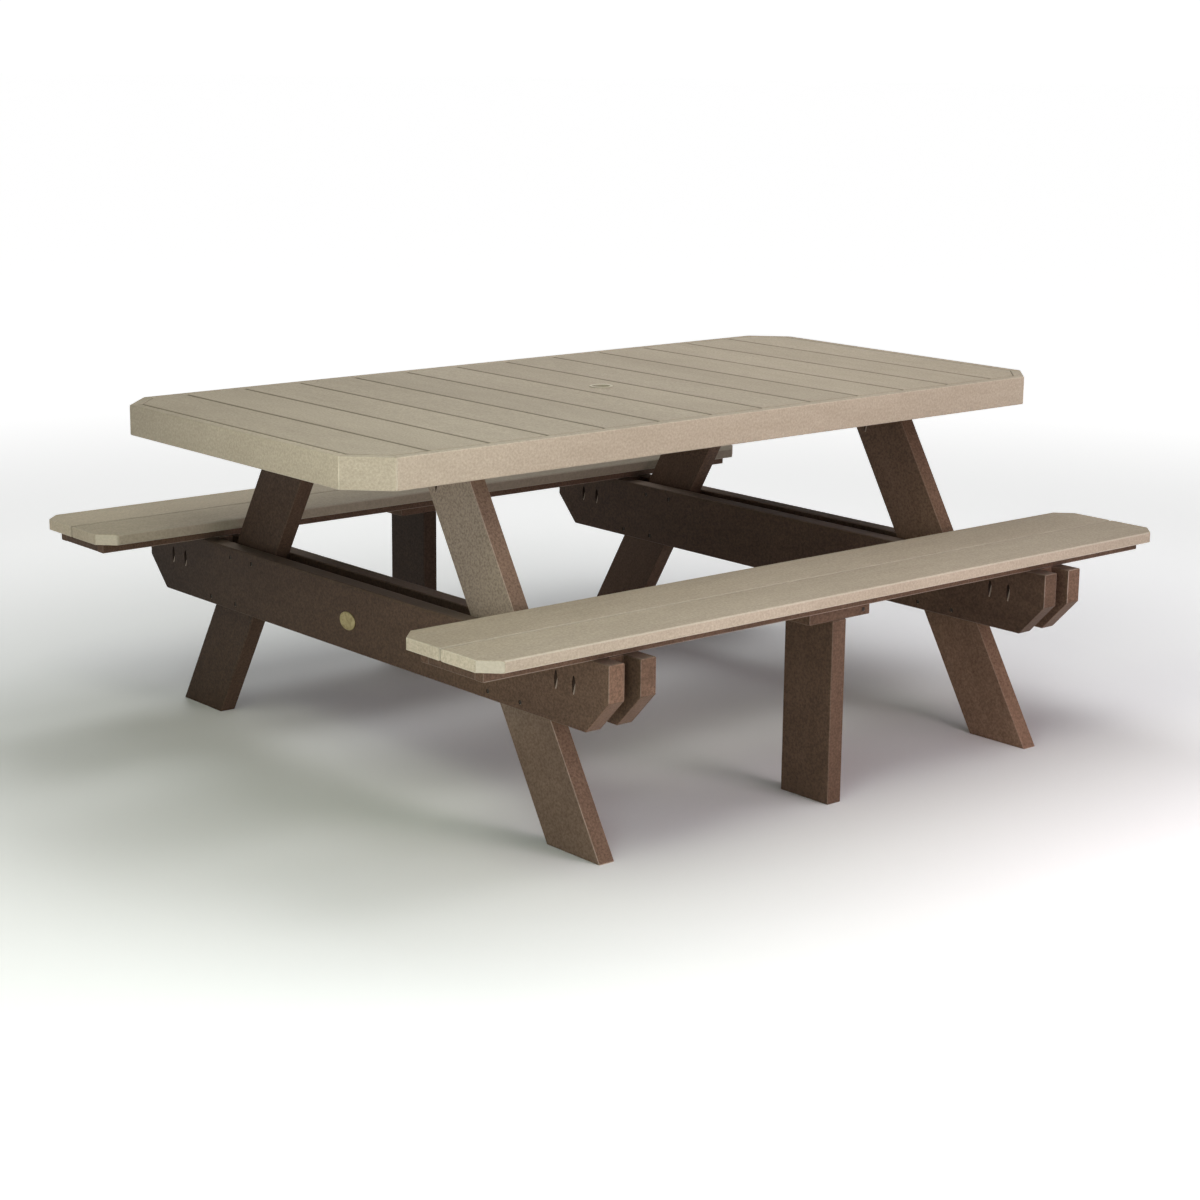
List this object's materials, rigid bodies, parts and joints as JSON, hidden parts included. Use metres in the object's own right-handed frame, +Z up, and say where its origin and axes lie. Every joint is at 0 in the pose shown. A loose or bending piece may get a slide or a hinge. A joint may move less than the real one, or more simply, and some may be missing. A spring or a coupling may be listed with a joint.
{
  "type": "picnic table",
  "caption": "Rectangular picnic table on two A-frames with a bench fixed along each side, clipped corners and an umbrella hole, for outdoor eating.",
  "frame": {"origin": "on the ground under the middle of the table (bottom centre of the bounding box)", "axes": "+X along the table's length, +Y across it towards the back bench, +Z up"},
  "size_m": [1.905, 1.628, 0.7638],
  "materials": {
    "beige_lumber": "weathered beige plastic lumber with a fine pebbled surface",
    "brown_lumber": "dark chestnut plastic lumber with a fine pebbled surface",
    "ring_plastic": "smooth beige moulded plastic",
    "badge_metal": "worn satin, left blank",
    "screw_steel": "coated steel, dull and lightly scuffed"
  },
  "bodies": {
    "root": {"badge_plate": "badge_metal", "beam_left_inner": "brown_lumber", "beam_left_outer": "brown_lumber", "beam_right_inner": "brown_lumber", "beam_right_outer": "brown_lumber", "beam_spacer_left_back": "brown_lumber", "beam_spacer_left_front": "brown_lumber", "beam_spacer_right_back": "brown_lumber", "beam_spacer_right_front": "brown_lumber", "leg_left_back": "brown_lumber", "leg_left_front": "brown_lumber", "leg_right_back": "brown_lumber", "leg_right_front": "brown_lumber", "seat_back_inner": "beige_lumber", "seat_back_outer": "beige_lumber", "seat_centre_board_back": "brown_lumber", "seat_centre_board_front": "brown_lumber", "seat_cross_board_back_left": "brown_lumber", "seat_cross_board_back_right": "brown_lumber", "seat_cross_board_front_left": "brown_lumber", "seat_cross_board_front_right": "brown_lumber", "seat_end_strip_back_left": "brown_lumber", "seat_end_strip_back_right": "brown_lumber", "seat_end_strip_front_left": "brown_lumber", "seat_end_strip_front_right": "brown_lumber", "seat_front_inner": "beige_lumber", "seat_front_outer": "beige_lumber", "seat_stringer_back_inner": "brown_lumber", "seat_stringer_back_outer": "brown_lumber", "seat_stringer_front_inner": "brown_lumber", "seat_stringer_front_outer": "brown_lumber", "skirt_back": "beige_lumber", "skirt_corner_back_left": "beige_lumber", "skirt_corner_back_right": "beige_lumber", "skirt_corner_front_left": "beige_lumber", "skirt_corner_front_right": "beige_lumber", "skirt_front": "beige_lumber", "skirt_left": "beige_lumber", "skirt_right": "beige_lumber", "support_leg_back": "brown_lumber", "support_leg_front": "brown_lumber", "support_plate_back": "brown_lumber", "support_plate_front": "brown_lumber", "top_slat_01": "beige_lumber", "top_slat_02": "beige_lumber", "top_slat_03": "beige_lumber", "top_slat_04": "beige_lumber", "top_slat_05": "beige_lumber", "top_slat_06": "beige_lumber", "top_slat_07": "beige_lumber", "top_slat_08": "beige_lumber", "top_slat_09": "beige_lumber", "top_slat_10": "beige_lumber", "top_slat_11": "beige_lumber", "top_slat_12": "beige_lumber", "top_slat_13": "beige_lumber", "top_stringer_back": "brown_lumber", "top_stringer_front": "brown_lumber", "top_stringer_middle": "brown_lumber", "umbrella_ring": "ring_plastic"}
  },
  "joints": []
}
